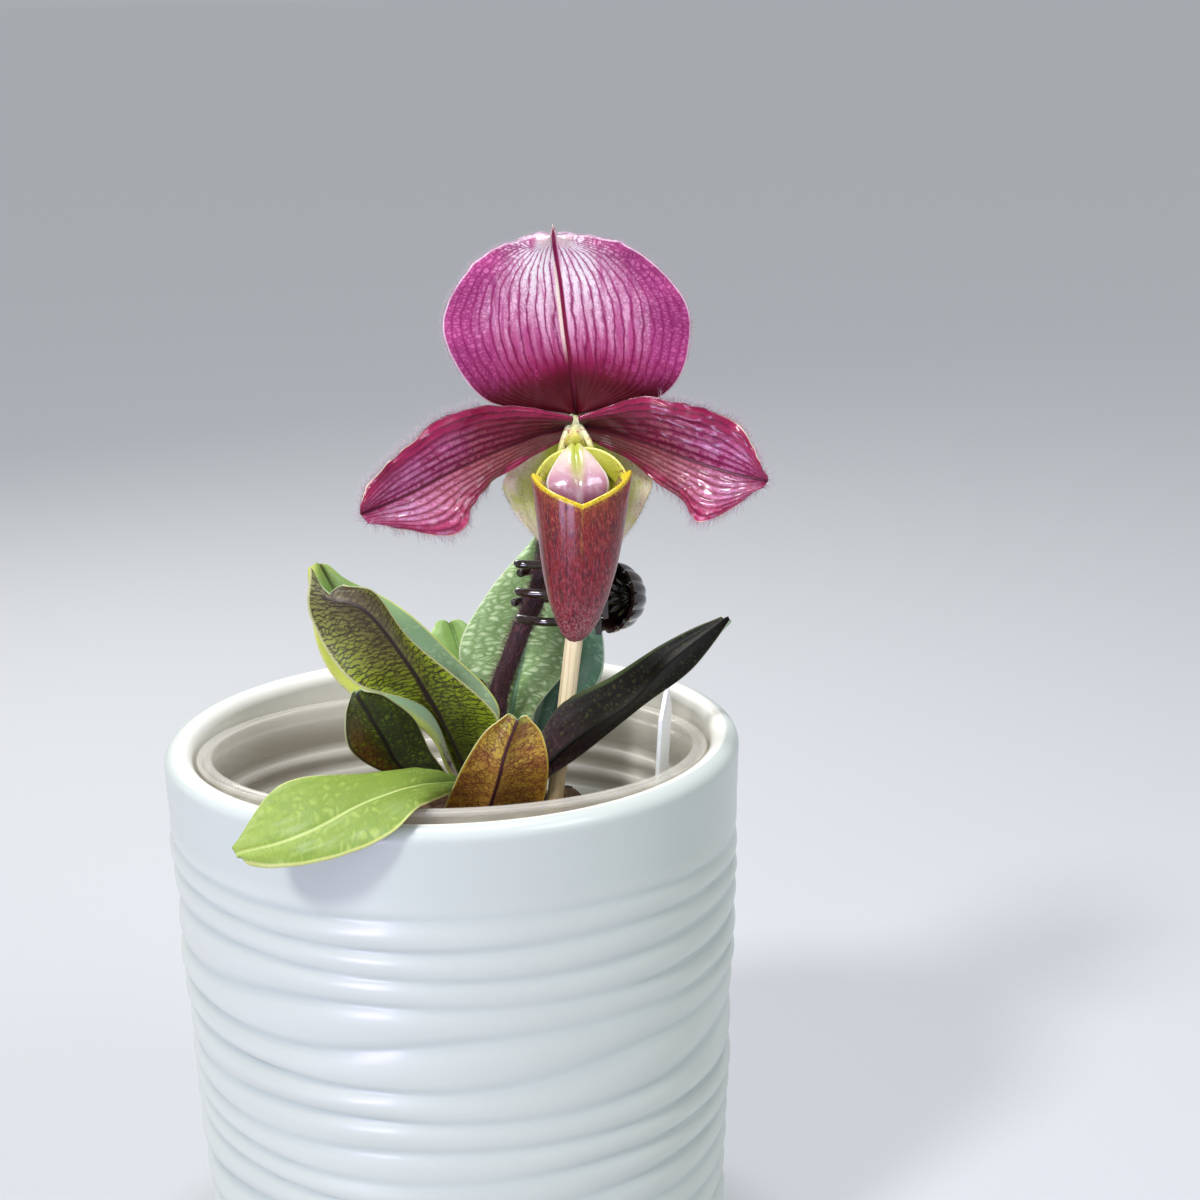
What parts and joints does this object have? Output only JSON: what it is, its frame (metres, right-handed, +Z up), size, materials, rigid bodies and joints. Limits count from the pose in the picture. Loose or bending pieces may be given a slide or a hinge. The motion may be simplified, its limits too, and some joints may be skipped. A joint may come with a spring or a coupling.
{
  "type": "paphiopedilum orchid in a pot",
  "caption": "Slipper orchid in flower, in a clear nursery pot inside a rippled white ceramic cover pot, its stem clipped to a bamboo stake.",
  "frame": {"origin": "middle of the cover pot's flat underside, on the surface it stands on", "axes": "+Z up; the flower faces -Y; +X is to the right when the flower is seen from the front"},
  "size_m": [0.1285, 0.1301, 0.2403],
  "materials": {
    "glaze": "glossy white glaze",
    "clear_plastic": "clear",
    "bark": "rough",
    "root": "matt",
    "bamboo": "satin",
    "white_plastic": "satin",
    "stem": "hairy",
    "leaf_amber": "satin",
    "leaf_green": "satin",
    "leaf_dark": "satin",
    "leaf_purple": "satin",
    "leaf_grey": "satin",
    "cream_tissue": "satin",
    "pink_tissue": "glossy",
    "petal": "glossy",
    "sepal": "satin",
    "pale_sepal": "satin",
    "pouch_tissue": "glossy",
    "steel": "bright",
    "clip_plastic": "glossy"
  },
  "bodies": {
    "plant": {"ceramic_pot": "glaze", "nursery_pot": "clear_plastic", "bark_mix": "bark", "crown_with_roots": "root", "stake": "bamboo", "plant_label": "white_plastic", "scape": "stem", "sheath": "stem", "leaf_front_small": "leaf_amber", "leaf_front_left": "leaf_green", "leaf_left_small": "leaf_dark", "leaf_left_large": "leaf_dark", "leaf_left_behind": "leaf_green", "leaf_right": "leaf_purple", "leaf_back_tall": "leaf_grey", "leaf_back_right": "leaf_grey", "leaf_back_small": "leaf_green", "ovary": "stem", "bract": "stem", "column": "cream_tissue", "staminode": "pink_tissue", "petal_left": "petal", "petal_right": "petal", "dorsal_sepal": "sepal", "synsepal": "pale_sepal", "pouch": "pouch_tissue", "clip_pin": "steel", "clip_front_jaw": "clip_plastic", "clip_spring": "steel"},
    "clip_back": {"clip_back_jaw": "clip_plastic"}
  },
  "joints": [
    {"name": "clip_hinge", "type": "hinge", "parent": "plant", "child": "clip_back", "pos_m": [0.0325, 0.0075, 0.1591], "axis": [0, 0, -1], "range_deg": [0, 25], "stiffness_Nm_per_rad": 0.02, "springref_deg": -28.65}
  ]
}
